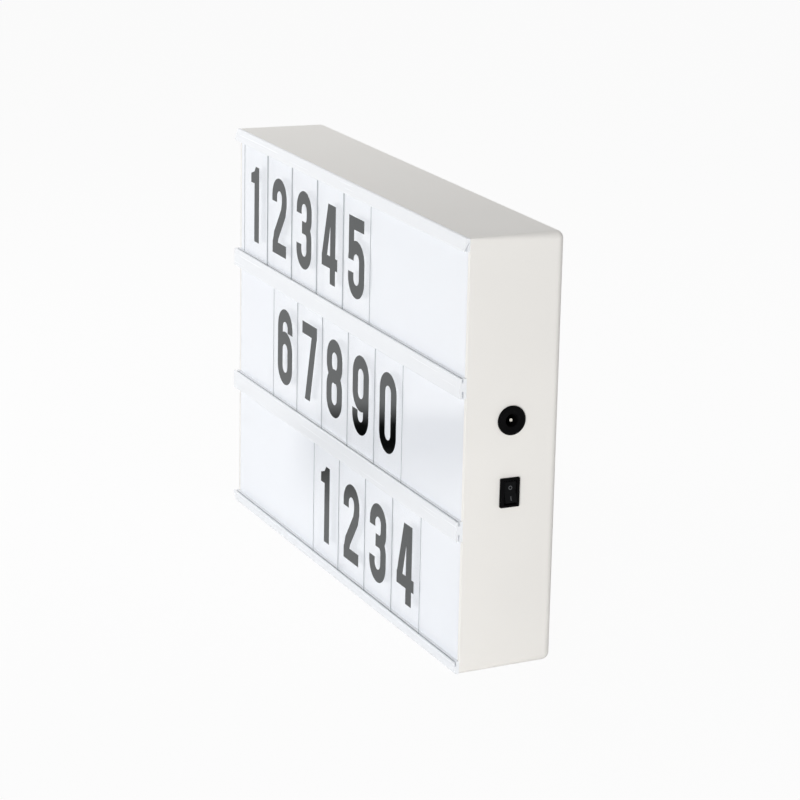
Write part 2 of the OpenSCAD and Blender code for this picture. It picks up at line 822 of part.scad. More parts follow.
// Pairs that carry the current from the middle strip to the other two
module board_links() {
    color([0.15, 0.15, 0.15]) placed()
        for (i = [0, 2], dx = [0, 3]) {
            up = i == 2 ? 1 : -1;
            a = pad(1, up * 3) - [dx + 6, 0, 0];
            b = pad(i, -up * 3) - [dx + 6, 0, 0];
            lead([a, a + [0, -3, up * 6], (a + b) / 2 - [0, 5, 0], b + [0, -3, -up * 6], b]);
        }
}

// From the outer contacts through the well's floor side to the middle strip
module battery_leads() {
    color([0.15, 0.15, 0.15]) placed()
        for (side = [-1, 1]) {
            a = [side * (bay_w / 2 + well_t + 1), bay_floor + 2, well_z - bay_h / 2 + 6];
            b = [side * (bay_w / 2 + 14), strip_front - lead_d / 2, strip_z[1] - 3];
            lead([a, a + [side * 5, -2, 4], [a.x + side * 10, a.y, (a.z + b.z) / 2], b + [0, -3, -8], b]);
        }
}

// ---- Nodes ----

rear_housing();
keyhole_caps();
battery_well();
diffuser_panel();
rail_top();
rail_upper_middle();
rail_lower_middle();
rail_bottom();
for (row = [0 : 2], i = [0 : row_count[row] - 1])
    card(row, i);
dc_jack_body();
dc_jack_pin();
dc_jack_nut();
dc_jack_terminals();
switch_case();
switch_rocker();
switch_terminals();
led_board_top();
led_board_middle();
led_board_bottom();
leds_top();
leds_middle();
leds_bottom();
led_resistors();
board_screws();
battery_door();
battery_springs();
battery_contacts_upper();
battery_contacts_lower();
jack_lead();
switch_lead();
board_links();
battery_leads();
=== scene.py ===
# %% [markdown]
# # A letter light box
#
# A white moulded box stands on the table. Its front is a sheet of opal plastic with four rails
# across it, and clear letter cards slide along the rails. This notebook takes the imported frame,
# which already has every piece in its place, and gives it what a picture needs: a camera, light,
# real finishes, print on the cards, and finer copies of the pieces that a viewer sees closely.

import json
from math import cos, pi, radians, sin

import bmesh
import bpy
from mathutils import Matrix, Vector
from mathutils.bvhtree import BVHTree
from mathutils.geometry import delaunay_2d_cdt


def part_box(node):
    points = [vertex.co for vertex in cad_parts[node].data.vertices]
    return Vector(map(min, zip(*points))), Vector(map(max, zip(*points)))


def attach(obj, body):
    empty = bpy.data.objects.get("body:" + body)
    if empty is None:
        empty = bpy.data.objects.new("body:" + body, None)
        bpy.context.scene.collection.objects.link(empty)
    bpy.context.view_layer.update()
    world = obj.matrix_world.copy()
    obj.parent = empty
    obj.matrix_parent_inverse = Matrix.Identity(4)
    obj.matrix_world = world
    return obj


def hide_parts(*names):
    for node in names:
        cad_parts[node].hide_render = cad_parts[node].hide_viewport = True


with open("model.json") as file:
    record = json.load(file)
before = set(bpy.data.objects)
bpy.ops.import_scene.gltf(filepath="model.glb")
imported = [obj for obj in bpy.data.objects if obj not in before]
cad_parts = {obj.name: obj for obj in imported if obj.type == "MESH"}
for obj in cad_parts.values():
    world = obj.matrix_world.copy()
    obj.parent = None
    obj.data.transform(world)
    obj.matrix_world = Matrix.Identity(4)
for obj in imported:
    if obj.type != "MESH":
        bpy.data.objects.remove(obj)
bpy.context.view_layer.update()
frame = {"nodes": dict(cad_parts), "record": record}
nodes = frame["nodes"]

# %% [markdown]
# ## Two small tools
#
# Sizes in this script are in millimetres where that reads better, and `MM` turns them into
# metres. `add` is the only way that this script makes a node, for materials and for Geometry
# Nodes alike: it takes the node's kind, what goes into its sockets, and its settings.

# %% Millimetres and nodes
MM = 0.001


def add(tree, kind, inputs=None, **settings):
    """A new node. inputs maps a socket's name or number to a value or to the socket it links from."""
    node = tree.nodes.new(kind)
    for name, value in settings.items():
        setattr(node, name, value)
    for key, value in (inputs or {}).items():
        if isinstance(value, bpy.types.NodeSocket):
            tree.links.new(value, node.inputs[key])
        else:
            node.inputs[key].default_value = value
    return node


def linear(hex_colour):
    """An sRGB hex colour as the linear RGBA that Blender works in."""
    parts = [int(hex_colour[i:i + 2], 16) / 255 for i in (1, 3, 5)]
    return [c / 12.92 if c <= 0.04045 else ((c + 0.055) / 1.055) ** 2.4 for c in parts] + [1]


print("mid grey", [round(c, 3) for c in linear("#808080")])

# %% [markdown]
# ## The camera
#
# The viewer stands to the right of the box and a little above it, about a metre and a half away,
# so the depth edges run together a little. The place was found by matching the box's corners to
# their places in the picture: a direction from the object to the camera, a small roll, and the
# shift of the aim. A long lens on the usual 36 mm sensor gives the right size.

# %% Camera
AZIMUTH, ELEVATION, ROLL = radians(65.42), radians(15.85), radians(-1.17)
AIM = Vector((-32.6, -96.7, -1546)) * MM
FRONT_PLANE = -23.75 * MM

back = Vector((sin(AZIMUTH) * cos(ELEVATION), -cos(AZIMUTH) * cos(ELEVATION), sin(ELEVATION)))
right = Vector((0, 0, 1)).cross(back).normalized()
view = Matrix.Rotation(ROLL, 3, "Z") @ Matrix((right, back.cross(right), back))
camera = bpy.data.objects.new("camera", bpy.data.cameras.new("camera"))
camera.data.lens = 128.93
camera.data.sensor_width = 36
camera.data.clip_start, camera.data.clip_end = 0.05, 30
place = view.transposed() @ -AIM + Vector((0, FRONT_PLANE, 0))
camera.matrix_world = Matrix.Translation(place) @ view.transposed().to_4x4()
bpy.context.scene.collection.objects.link(camera)
bpy.context.scene.camera = camera
print("camera at", [round(v, 3) for v in place])

# %% [markdown]
# ## Floor and light
#
# Product pictures of white things are taken in a light tent: light comes from everywhere, more
# of it from the front and from the side that faces the camera, and least from above. So the top
# of the box stays a shade darker, and darkest at its right end, because the soft box over it
# hangs to the left. An even world does that here, with three soft boxes. They light, but aren't
# mirrored: in the picture only plain white is. The floor is pale. To the camera and to mirrors it
# is mixed with plain white, so that it melts into the background and still keeps the box's shadow.

# %% World
TENT_STRENGTH = 0.34

scene = bpy.context.scene
scene.view_settings.view_transform = "Standard"
world = bpy.data.worlds.new("light tent")
scene.world = world
world.use_nodes = True
tree = world.node_tree
tree.nodes.clear()
ray = add(tree, "ShaderNodeLightPath").outputs
seen = add(tree, "ShaderNodeMath", {0: ray["Is Camera Ray"], 1: ray["Is Glossy Ray"]},
           operation="MAXIMUM")
seen = add(tree, "ShaderNodeMath", {0: seen.outputs[0], 1: ray["Is Transmission Ray"]},
           operation="MAXIMUM")
tent = add(tree, "ShaderNodeBackground", {"Color": linear("#FCFBFA"), "Strength": TENT_STRENGTH})
white = add(tree, "ShaderNodeBackground", {"Color": (1, 1, 1, 1), "Strength": 1})
mixed = add(tree, "ShaderNodeMixShader",
            {0: seen.outputs[0], 1: tent.outputs[0], 2: white.outputs[0]})
add(tree, "ShaderNodeOutputWorld", {0: mixed.outputs[0]})
print("world", len(tree.nodes), "nodes")

# %% Floor
FLOOR_HALF = 6  # metres
WHITE_SHARE = 0.94  # how far the floor is mixed with plain white where it is seen

floor_mesh = bpy.data.meshes.new("floor")
floor_corners = [(x * FLOOR_HALF, y * FLOOR_HALF, 0) for x, y in ((-1, -1), (1, -1), (1, 1), (-1, 1))]
floor_mesh.from_pydata(floor_corners, [], [(0, 1, 2, 3)])
floor = bpy.data.objects.new("floor", floor_mesh)
scene.collection.objects.link(floor)
paper = bpy.data.materials.new("matt white background paper")
paper.use_nodes = True
tree = paper.node_tree
tree.nodes.clear()
ray = add(tree, "ShaderNodeLightPath").outputs
seen = add(tree, "ShaderNodeMath", {0: ray["Is Camera Ray"], 1: ray["Is Glossy Ray"]},
           operation="MAXIMUM")
share = add(tree, "ShaderNodeMath", {0: seen.outputs[0], 1: WHITE_SHARE}, operation="MULTIPLY")
matt = add(tree, "ShaderNodeBsdfDiffuse", {"Color": (0.9, 0.9, 0.9, 1), "Roughness": 1})
glow = add(tree, "ShaderNodeEmission", {"Color": (1, 1, 1, 1), "Strength": 1})
mixed = add(tree, "ShaderNodeMixShader",
            {0: share.outputs[0], 1: matt.outputs[0], 2: glow.outputs[0]})
add(tree, "ShaderNodeOutputMaterial", {0: mixed.outputs[0]})
floor_mesh.materials.append(paper)
print("floor", 2 * FLOOR_HALF, "m square")

# %% Soft boxes
BOX_MIDDLE = Vector((0, 0, 0.1))  # what every soft box is turned to

soft_boxes = {  # name: (place, size across and up in metres, power in watts)
    "front soft box": ((-0.4, -0.7, 0.3), (0.5, 0.4), 2.3),
    "side soft box": ((1.5, -0.9, 0.1), (0.8, 0.3), 20.5),
    "upper soft box": ((-0.35, 0, 0.9), (0.4, 0.4), 1.9),
}
for name, (spot, size, power) in soft_boxes.items():
    lamp = bpy.data.lights.new(name, "AREA")
    lamp.shape = "RECTANGLE"
    lamp.size, lamp.size_y = size
    lamp.energy = power
    box = bpy.data.objects.new(name, lamp)
    turned = (Vector(spot) - BOX_MIDDLE).to_track_quat("Z", "Y").to_matrix().to_4x4()
    box.matrix_world = Matrix.Translation(spot) @ turned
    box.visible_camera = box.visible_glossy = False
    scene.collection.objects.link(box)
    print(name, power, "W")

# %% [markdown]
# ## A dark sheet that paints a reflection
#
# Glossy black print shows whatever it mirrors. Seen at this low angle it mirrors the white table
# and looks mid grey. A dark sheet in front of the box, which only mirrored rays meet, paints a
# dark reflection into part of it: the feet of the middle row turn truly black. The sheet lies
# square to the line of sight. Its near, far and left edges fade, so the painted reflection has
# soft edges. The camera and the light never meet it, so it throws no shadow.

# %% Dark sheet for a painted reflection
CARD_NEAR, CARD_DARK, CARD_FULL, CARD_FAR = 115, 245, 298, 348  # mm along the mirrored sight line
CARD_LEFT, CARD_LEFT_DARK, CARD_RIGHT = -38, -22, 400  # mm across it

ahead = Vector((-back.x, back.y, 0)).normalized()
offset = Vector((0, FRONT_PLANE, 0)).dot(ahead) / MM
across = Vector((-ahead.y, ahead.x, 0))
start = Vector((0, FRONT_PLANE, 1 * MM))
card_corners = [(CARD_NEAR, CARD_LEFT), (CARD_FAR, CARD_LEFT), (CARD_FAR, CARD_RIGHT),
                (CARD_NEAR, CARD_RIGHT)]
reflection_sheet_mesh = bpy.data.meshes.new("painted reflection sheet")
reflection_sheet_mesh.from_pydata([start + ahead * a * MM + across * b * MM for a, b in card_corners], [],
                      [(0, 1, 2, 3)])
reflection_sheet = bpy.data.objects.new("painted reflection sheet", reflection_sheet_mesh)
scene.collection.objects.link(reflection_sheet)
reflection_sheet.visible_camera = reflection_sheet.visible_diffuse = reflection_sheet.visible_transmission = reflection_sheet.visible_shadow = False
# Painted reflection: this dark sheet, seen only by mirrored rays, darkens the print's mirror image,
# fading at its edges.
reflection_paint = bpy.data.materials.new("dark sheet with soft edges painting a reflection")
reflection_paint.use_nodes = True
tree = reflection_paint.node_tree
tree.nodes.clear()
spot = add(tree, "ShaderNodeTexCoord").outputs["Object"]
reach = add(tree, "ShaderNodeVectorMath", {0: spot, 1: tuple(ahead / MM)}, operation="DOT_PRODUCT")
rise = add(tree, "ShaderNodeMapRange",
           {0: reach.outputs["Value"], 1: CARD_NEAR + offset, 2: CARD_DARK + offset})
fall = add(tree, "ShaderNodeMapRange",
           {0: reach.outputs["Value"], 1: CARD_FAR + offset, 2: CARD_FULL + offset})
side = add(tree, "ShaderNodeVectorMath", {0: spot, 1: tuple(across / MM)}, operation="DOT_PRODUCT")
edge_off = start.dot(across) / MM
edge = add(tree, "ShaderNodeMapRange",
           {0: side.outputs["Value"], 1: CARD_LEFT + edge_off, 2: CARD_LEFT_DARK + edge_off})
cover = add(tree, "ShaderNodeMath", {0: rise.outputs[0], 1: fall.outputs[0]}, operation="MULTIPLY")
cover = add(tree, "ShaderNodeMath", {0: cover.outputs[0], 1: edge.outputs[0]}, operation="MULTIPLY")
open_air = add(tree, "ShaderNodeBsdfTransparent")
black = add(tree, "ShaderNodeBsdfDiffuse", {"Color": (0.004, 0.004, 0.004, 1)})
mixed = add(tree, "ShaderNodeMixShader",
            {0: cover.outputs[0], 1: open_air.outputs[0], 2: black.outputs[0]})
add(tree, "ShaderNodeOutputMaterial", {0: mixed.outputs[0]})
reflection_sheet_mesh.materials.append(reflection_paint)
print("painted reflection sheet from", CARD_NEAR, "to", CARD_FAR, "mm")

# %% [markdown]
# ## Finishes
#
# Each material starts from what the real one is. `finish` makes the Principled shader and gives
# the place on the object in millimetres, so that the scale of each pattern below is a real size:
# a noise of scale 1 / 40 has blots about 40 mm across.

# %% Start of a finish
finishes = {}


def finish(name, colour, roughness, **sockets):
    """Tree, shader and place in millimetres of a new Principled material."""
    material = bpy.data.materials.new(name)
    material.use_nodes = True
    tree = material.node_tree
    tree.nodes.clear()
    shader = add(tree, "ShaderNodeBsdfPrincipled",
                 {"Base Color": linear(colour), "Roughness": roughness})
    for socket, value in sockets.items():
        shader.inputs[socket.replace("_", " ")].default_value = value
    add(tree, "ShaderNodeOutputMaterial", {0: shader.outputs[0]})
    place = add(tree, "ShaderNodeTexCoord").outputs["Object"]
    mm = add(tree, "ShaderNodeVectorMath", {0: place, "Scale": 1000}, operation="SCALE")
    finishes[name] = material
    return tree, shader, mm.outputs[0]


def mottle(tree, shader, place, size, colours, grain=0, depth=0, detail=2):
    """Lets the colour drift between two, over blots of a size in mm, and adds a bump of depth mm."""
    blots = add(tree, "ShaderNodeTexNoise", {"Vector": place, "Scale": 1 / size, "Detail": 1})
    ends = {6: linear(colours[0]), 7: linear(colours[1])}
    mix = add(tree, "ShaderNodeMix", {0: blots.outputs[0]} | ends, data_type="RGBA")
    tree.links.new(mix.outputs[2], shader.inputs["Base Color"])
    if grain:
        fine = add(tree, "ShaderNodeTexNoise", {"Vector": place, "Scale": 1 / grain, "Detail": detail})
        bump = add(tree, "ShaderNodeBump",
                   {"Height": fine.outputs[0], "Strength": 1, "Distance": depth * MM})
        tree.links.new(bump.outputs[0], shader.inputs["Normal"])
        return fine
    return blots


def vary_roughness(tree, shader, source, low, high):
    """Ties the roughness to a noise, most of which lies between 0.3 and 0.7, from low to high."""
    span = add(tree, "ShaderNodeMapRange", {0: source, 1: 0.3, 2: 0.7, 3: low, 4: high})
    tree.links.new(span.outputs[0], shader.inputs["Roughness"])


print("ready for finishes")

# %% [markdown]
# The housing is white ABS, moulded against a finely spark-eroded steel. It gives a soft sheen
# without clear reflections, and the grain, about half a millimetre, shows only near by.

# %% Moulded white ABS
tree, shader, place = finish("white ABS with a fine moulded grain", "#EFEDE9", 0.42, IOR=1.54)
grain = mottle(tree, shader, place, 70, ("#F1EFEB", "#EBE9E5"), grain=0.5, depth=0.008, detail=3)
vary_roughness(tree, shader, grain.outputs[0], 0.38, 0.5)
print("housing")

# %% [markdown]
# The front is opal acrylic, a milky sheet that spreads the lamps' light. It is polished, so it
# mirrors what lies in front of it at a low angle, and it is a little colder than the housing.
# A sheet is never quite flat: a very shallow swell, some 90 mm long, bends the mirrored edges.

# %% Opal acrylic
tree, shader, place = finish("polished opal acrylic", "#F1F4F8", 0.06, IOR=1.49)
swell = mottle(tree, shader, place, 120, ("#F2F5F9", "#EEF1F7"), grain=90, depth=0.05, detail=0)
vary_roughness(tree, shader, swell.outputs[0], 0.05, 0.09)
print("opal sheet")

# %% [markdown]
# The rails are extruded from a clouded polystyrene. Light passes through their thin lips, so the
# letter slots never go dark, and their cut ends look a little greyer than the sheet. A
# Translucent shader, mixed in, lets the light through. Extrusion leaves faint lines along them.

# %% Clouded polystyrene of the rails
LET_THROUGH = 0.06  # the share of the light that passes through

tree, shader, place = finish("extruded clouded polystyrene", "#F5F8FB", 0.2, IOR=1.59)
along = add(tree, "ShaderNodeVectorMath", {0: place, 1: (0.01, 1, 1)}, operation="MULTIPLY")
lines = mottle(tree, shader, along.outputs[0], 8, ("#F7F9FC", "#F3F6FA"), grain=0.8, depth=0.006)
vary_roughness(tree, shader, lines.outputs[0], 0.16, 0.28)
through = add(tree, "ShaderNodeBsdfTranslucent", {"Color": linear("#F3F5FA")})
cloudy = add(tree, "ShaderNodeMixShader",
             {0: LET_THROUGH, 1: shader.outputs[0], 2: through.outputs[0]})
output = next(n for n in tree.nodes if n.type == "OUTPUT_MATERIAL")
tree.links.new(cloudy.outputs[0], output.inputs[0])
print("rails")

# %% [markdown]
# A card is clear coated film. All that one sees of its faces is a weak shine, which grows as
# one looks along it, so a Layer Weight node, raised to the fifth power, mixes a transparent
# shader with a glossy one. The cut edges get a flat grey diffuse colour instead: painted shade,
# standing in for the light that is lost inside the film. The faces are told from the edges by
# their normal, which points forward or back. The print is a glossy black ink, which mirrors in
# the same way: from this low angle it looks mid grey wherever the white table is mirrored in it.

# %% Clear film and its ink
SHINE_AHEAD, SHINE_ASKEW = 0.004, 0.08  # how much of the light each face of the film throws back

tree, shader, place = finish("clear letter film", "#FFFFFF", 0.06, IOR=1.57)
output = next(n for n in tree.nodes if n.type == "OUTPUT_MATERIAL")
haze = add(tree, "ShaderNodeTexNoise", {"Vector": place, "Scale": 1 / 25, "Detail": 2})
vary_roughness(tree, shader, haze.outputs[0], 0.04, 0.09)
askew = add(tree, "ShaderNodeLayerWeight", {"Blend": 0.5}).outputs["Facing"]
steep = add(tree, "ShaderNodeMath", {0: askew, 1: 5}, operation="POWER")
shine = add(tree, "ShaderNodeMapRange", {0: steep.outputs[0], 3: SHINE_AHEAD, 4: SHINE_ASKEW})
clear = add(tree, "ShaderNodeBsdfTransparent", {"Color": (1, 1, 1, 1)})
film = add(tree, "ShaderNodeMixShader",
           {0: shine.outputs[0], 1: clear.outputs[0], 2: shader.outputs[0]})
normal = add(tree, "ShaderNodeTexCoord").outputs["Normal"]
forward = add(tree, "ShaderNodeSeparateXYZ", {0: normal}).outputs[1]
facing = add(tree, "ShaderNodeMath", {0: forward}, operation="ABSOLUTE")
painted_edge_shade_mask = add(tree, "ShaderNodeMath", {0: facing.outputs[0], 1: 0.5}, operation="LESS_THAN")
# Painted shade: the cut edges of the clear film are a flat grey diffuse colour.
edge = add(tree, "ShaderNodeBsdfDiffuse", {"Color": linear("#A9AEB1")})
whole = add(tree, "ShaderNodeMixShader",
            {0: painted_edge_shade_mask.outputs[0], 1: film.outputs[0], 2: edge.outputs[0]})
tree.links.new(whole.outputs[0], output.inputs[0])

tree, shader, place = finish("glossy black printing ink", "#070808", 0.06, IOR=1.6,
                             Specular_Tint=linear("#D8E6EA"))
coat = mottle(tree, shader, place, 6, ("#060707", "#0A0B0B"), grain=1.2, depth=0.001)
vary_roughness(tree, shader, coat.outputs[0], 0.05, 0.09)
print("film and ink")

# %% [markdown]
# The socket and the switch are black nylon, moulded with a matt grain so that their inside
# curves stay dark. The rocker is the same plastic with a shinier face, and its marks are a
# grey print.

# %% Black nylon and the marks
tree, shader, place = finish("black nylon with a matt grain", "#0C0C0D", 0.4, IOR=1.53,
                             Specular_IOR_Level=0.02)
grain = mottle(tree, shader, place, 5, ("#0A0A0B", "#0E0E0F"), grain=0.35, depth=0.006)
vary_roughness(tree, shader, grain.outputs[0], 0.34, 0.48)

tree, shader, place = finish("black nylon, polished", "#0E0F10", 0.28, IOR=1.53,
                             Specular_IOR_Level=0.04)
grain = mottle(tree, shader, place, 4, ("#0D0E0F", "#111213"), grain=0.6, depth=0.003)
vary_roughness(tree, shader, grain.outputs[0], 0.24, 0.34)

tree, shader, place = finish("grey pad print", "#5A5D5F", 0.5, IOR=1.5)
mottle(tree, shader, place, 0.8, ("#535658", "#626567"))
print("switch and socket")

# %% [markdown]
# Metal parts are small: nickel on the socket's pin and the battery contacts, tin on the solder
# lugs, zinc on the screws. Nickel is bright with fine drawing lines, tin duller, zinc greyish
# with a slightly uneven shine.

# %% Metals
for name, size, colours, roughness in (
    ("bright nickel plate", 3, ("#DDD8CE", "#D2CDC4"), (0.16, 0.26)),
    ("tinned brass", 2, ("#D6D2C6", "#C6C2B4"), (0.28, 0.42)),
    ("zinc-plated steel", 1.5, ("#C6C8CC", "#B4B7BB"), (0.25, 0.4)),
):
    tree, shader, place = finish(name, colours[0], roughness[0], Metallic=1)
    blots = mottle(tree, shader, place, size, colours, grain=0.4, depth=0.002)
    vary_roughness(tree, shader, blots.outputs[0], *roughness)
    print(name)

# %% [markdown]
# Inside, the light strips are printed boards under a white lacquer. Each lamp is a small white
# case filled with yellow phosphor, and the resistors are black fired film. The leads have a
# smooth soft PVC skin.

# %% Boards, lamps and leads
for name, size, colours, roughness in (
    ("white board lacquer", 14, ("#EDEDE7", "#E4E4DD"), (0.3, 0.42)),
    ("lamp phosphor under silicone", 1.5, ("#EFC94A", "#E5BB3C"), (0.2, 0.3)),
    ("white lamp case", 2, ("#F0F0EC", "#E8E8E4"), (0.35, 0.45)),
    ("black fired film", 1, ("#141414", "#1E1E1E"), (0.4, 0.5)),
    ("red PVC skin", 6, ("#B01818", "#9C1414"), (0.32, 0.42)),
    ("black PVC skin", 6, ("#161616", "#1C1C1C"), (0.32, 0.42)),
):
    tree, shader, place = finish(name, colours[0], roughness[0], IOR=1.52)
    blots = mottle(tree, shader, place, size, colours, grain=size / 4, depth=0.004)
    vary_roughness(tree, shader, blots.outputs[0], *roughness)
print(len(finishes), "finishes")

# %% [markdown]
# ## Smooth copies of the CAD pieces
#
# The frame's meshes are loose triangles, and light breaks at each of their edges. For a piece
# with round edges, a copy is merged and shaded smoothly, with a crease kept wherever two faces
# meet at more than 30 degrees. A Weighted Normal modifier lets the large flat faces win over the
# narrow round ones, so that the flats stay flat right up to their edges. The copy stands for the
# CAD piece, and the CAD piece goes on colliding.

# %% Merged copies
CREASE = radians(30)
SAME_SPOT = 0.002 * MM  # corners nearer than this are one


def body_of(node):
    """The body that a CAD piece rides on."""
    return next(b for b, members in frame["record"]["behaviour"]["bodies"].items() if node in members)


def merged(node):
    """A CAD piece's mesh with its doubles merged, as a bmesh."""
    bm = bmesh.new()
    bm.from_mesh(nodes[node].data)
    bmesh.ops.remove_doubles(bm, verts=bm.verts, dist=SAME_SPOT)
    return bm


def piece(name, mesh, body, material, replaced=()):
    """An object that rides on a body, takes a finish, and stands for CAD pieces."""
    thing = bpy.data.objects.new(name, mesh)
    scene.collection.objects.link(thing)
    mesh.materials.clear()
    mesh.materials.append(finishes[material])
    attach(thing, body)
    if replaced:
        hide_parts(*replaced)
    return thing


def shade(thing, crease=CREASE):
    """Smooth shading with creases, and flat faces kept flat."""
    mesh = thing.data
    mesh.polygons.foreach_set("use_smooth", [True] * len(mesh.polygons))
    mesh.set_sharp_from_angle(angle=crease)
    flats = thing.modifiers.new("flat faces stay flat", "WEIGHTED_NORMAL")
    flats.keep_sharp = True
    return thing


def smooth_copy(node, name, material):
    """A merged and smoothly shaded copy, which stands for its CAD piece."""
    mesh = bpy.data.meshes.new(name)
    bm = merged(node)
    bm.to_mesh(mesh)
    bm.free()
    return shade(piece(name, mesh, body_of(node), material, [node]))


for node, name, slot, material in (
    ("rear_housing", "housing_moulding", "white_housing", "white ABS with a fine moulded grain"),
    ("battery_well", "battery_well_moulding", "white_housing", "white ABS with a fine moulded grain"),
    ("keyhole_caps", "keyhole_cap_mouldings", "white_housing", "white ABS with a fine moulded grain"),
    ("battery_door", "battery_door_moulding", "white_housing", "white ABS with a fine moulded grain"),
    ("dc_jack_body", "socket_moulding", "black_plastic", "black nylon with a matt grain"),
    ("dc_jack_pin", "socket_pin", "nickel", "bright nickel plate"),
    ("switch_case", "switch_moulding", "black_plastic", "black nylon with a matt grain"),
    ("switch_rocker", "rocker_moulding", "black_plastic", "black nylon, polished"),
):
    copied = smooth_copy(node, name, material)
    print(copied.name, len(copied.data.polygons), "faces")

# %% [markdown]
# ## Finishes for the pieces that stay as they are
#
# Flat pieces need no copy. Each keeps its CAD mesh, and its slot takes the finish.

# %% Finishes on CAD pieces
flat_pieces = {
    "diffuser_panel": "polished opal acrylic",
    "dc_jack_nut": "black nylon with a matt grain",
    "dc_jack_terminals": "tinned brass",
    "switch_terminals": "tinned brass",
    "led_board_top": "white board lacquer",
    "led_board_middle": "white board lacquer",
    "led_board_bottom": "white board lacquer",
    "leds_top": "white lamp case",
    "leds_middle": "white lamp case",
    "leds_bottom": "white lamp case",
    "led_resistors": "black fired film",
    "battery_contacts_upper": "bright nickel plate",
    "battery_contacts_lower": "bright nickel plate",
}
flat_pieces |= {node: "clear letter film" for node in nodes if node.startswith("card_")}
for node, material in flat_pieces.items():
    nodes[node].data.materials.clear()
    nodes[node].data.materials.append(finishes[material])
print(len(flat_pieces), "CAD pieces have a finish")

# %% [markdown]
# ## Geometry Nodes, and how a tree becomes a piece
#
# A tree is a rule with named sizes. It fits whatever repeats or follows a path: change a size
# and every copy follows. `grow` puts the tree on a seed mesh as a modifier, sets its inputs by
# the sockets' identifiers, and turns the evaluated result into a plain mesh, so that nothing is
# left live on the piece.

# %% Trees
def new_tree(name, sizes):
    """An empty Geometry Nodes tree with a mesh coming in, named sizes, and a mesh going out."""
    tree = bpy.data.node_groups.new(name, "GeometryNodeTree")
    tree.interface.new_socket("Seed mesh", in_out="INPUT", socket_type="NodeSocketGeometry")
    for label, value in sizes.items():
        kind = {bool: "NodeSocketBool", int: "NodeSocketInt", float: "NodeSocketFloat"}.get(
            type(value), "NodeSocketMaterial"
        )
        socket = tree.interface.new_socket(label, in_out="INPUT", socket_type=kind)
        socket.default_value = value
    tree.interface.new_socket("Piece", in_out="OUTPUT", socket_type="NodeSocketGeometry")
    return tree, add(tree, "NodeGroupInput").outputs


def close_tree(tree, geometry, material):
    """Ends a tree in Realize Instances and Set Material."""
    real = add(tree, "GeometryNodeRealizeInstances", {0: geometry})
    coated = add(tree, "GeometryNodeSetMaterial", {0: real.outputs[0], "Material": material})
    add(tree, "NodeGroupOutput", {0: coated.outputs[0]})


def grow(name, tree, points, edges, sizes, body, material, replaced=()):
    """Runs a tree on a seed of points and edges, and makes the plain result a piece."""
    seed = bpy.data.meshes.new(name + " seed")
    seed.from_pydata([tuple(p) for p in points], edges, [])
    holder = bpy.data.objects.new(name + " seed", seed)
    scene.collection.objects.link(holder)
    modifier = holder.modifiers.new(tree.name, "NODES")
    modifier.node_group = tree
    for item in tree.interface.items_tree:
        if item.item_type == "SOCKET" and item.in_out == "INPUT" and item.name in sizes:
            modifier[item.identifier] = sizes[item.name]
    holder.update_tag()
    evaluated = holder.evaluated_get(bpy.context.evaluated_depsgraph_get())
    mesh = bpy.data.meshes.new_from_object(evaluated)
    mesh.name = name
    bpy.data.objects.remove(holder)
    return piece(name, mesh, body, material, replaced)


print("tree tools ready")

# %% [markdown]
# ## The rails
#
# A rail is an extrusion: one outline, drawn out to the box's width. The outline is read off the
# left end of the CAD rail, and the tree sweeps it along a straight line with its ends closed.
# Sweeping a curve is chosen over extruding a face, because the same tree would follow a bend.

# %% Extruded rails
POLYSTYRENE = "extruded clouded polystyrene"
ON_END = 0.01 * MM  # how near the end a corner that belongs to it lies


def end_outline(node):
    """A CAD bar's left end as a closed row of (depth, height), and where the bar's two ends are."""
    bm = merged(node)
    left = min(v.co.x for v in bm.verts)
    on_end = {v for v in bm.verts if v.co.x < left + ON_END}
    caps = {f for f in bm.faces if all(v in on_end for v in f.verts)}
    rim = [e for e in bm.edges if sum(f in caps for f in e.link_faces) == 1]
    neighbours = {}
    for edge in rim:
        for a, b in (edge.verts, reversed(edge.verts)):
            neighbours.setdefault(a, []).append(b)
    row = [rim[0].verts[0]]
    while len(row) < len(rim):
        row.append(next(v for v in neighbours[row[-1]] if v not in row[-2:]))
    points = [(v.co.y, v.co.z) for v in row]
    ends = left, max(v.co.x for v in bm.verts)
    bm.free()
    turn = sum(a[0] * b[1] - b[0] * a[1] for a, b in zip(points, points[1:] + points[:1]))
    return (points if turn > 0 else points[::-1]), ends


tree, sizes = new_tree("extruded bar", {"From": 0.0, "To": 0.3, "Material": finishes[POLYSTYRENE]})
outline = add(tree, "GeometryNodeMeshToCurve", {0: sizes["Seed mesh"]})
start = add(tree, "ShaderNodeCombineXYZ", {2: sizes["From"]})
end = add(tree, "ShaderNodeCombineXYZ", {2: sizes["To"]})
line = add(tree, "GeometryNodeCurvePrimitiveLine",
           {"Start": start.outputs[0], "End": end.outputs[0]})
bar = add(tree, "GeometryNodeCurveToMesh",
          {0: line.outputs[0], 1: outline.outputs[0], "Fill Caps": True})
laid = add(tree, "GeometryNodeTransform", {0: bar.outputs[0], "Rotation": (pi / 2, 0, pi / 2)})
close_tree(tree, laid.outputs[0], sizes["Material"])

for node in ("rail_top", "rail_upper_middle", "rail_lower_middle", "rail_bottom"):
    points, ends = end_outline(node)
    count = len(points)
    rail = grow(node + "_extrusion", tree, [(d, h, 0) for d, h in points],
                [(i, (i + 1) % count) for i in range(count)],
                {"From": ends[0], "To": ends[1]}, "housing", POLYSTYRENE, [node])
    shade(rail)
    lo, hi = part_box(node)
    off_low = (Vector(lo) - Vector(rail.bound_box[0])).length
    off_high = (Vector(hi) - Vector(rail.bound_box[6])).length
    off = max(off_low, off_high)
    print(rail.name, count, "points, off the CAD box by", round(off / MM, 4), "mm")

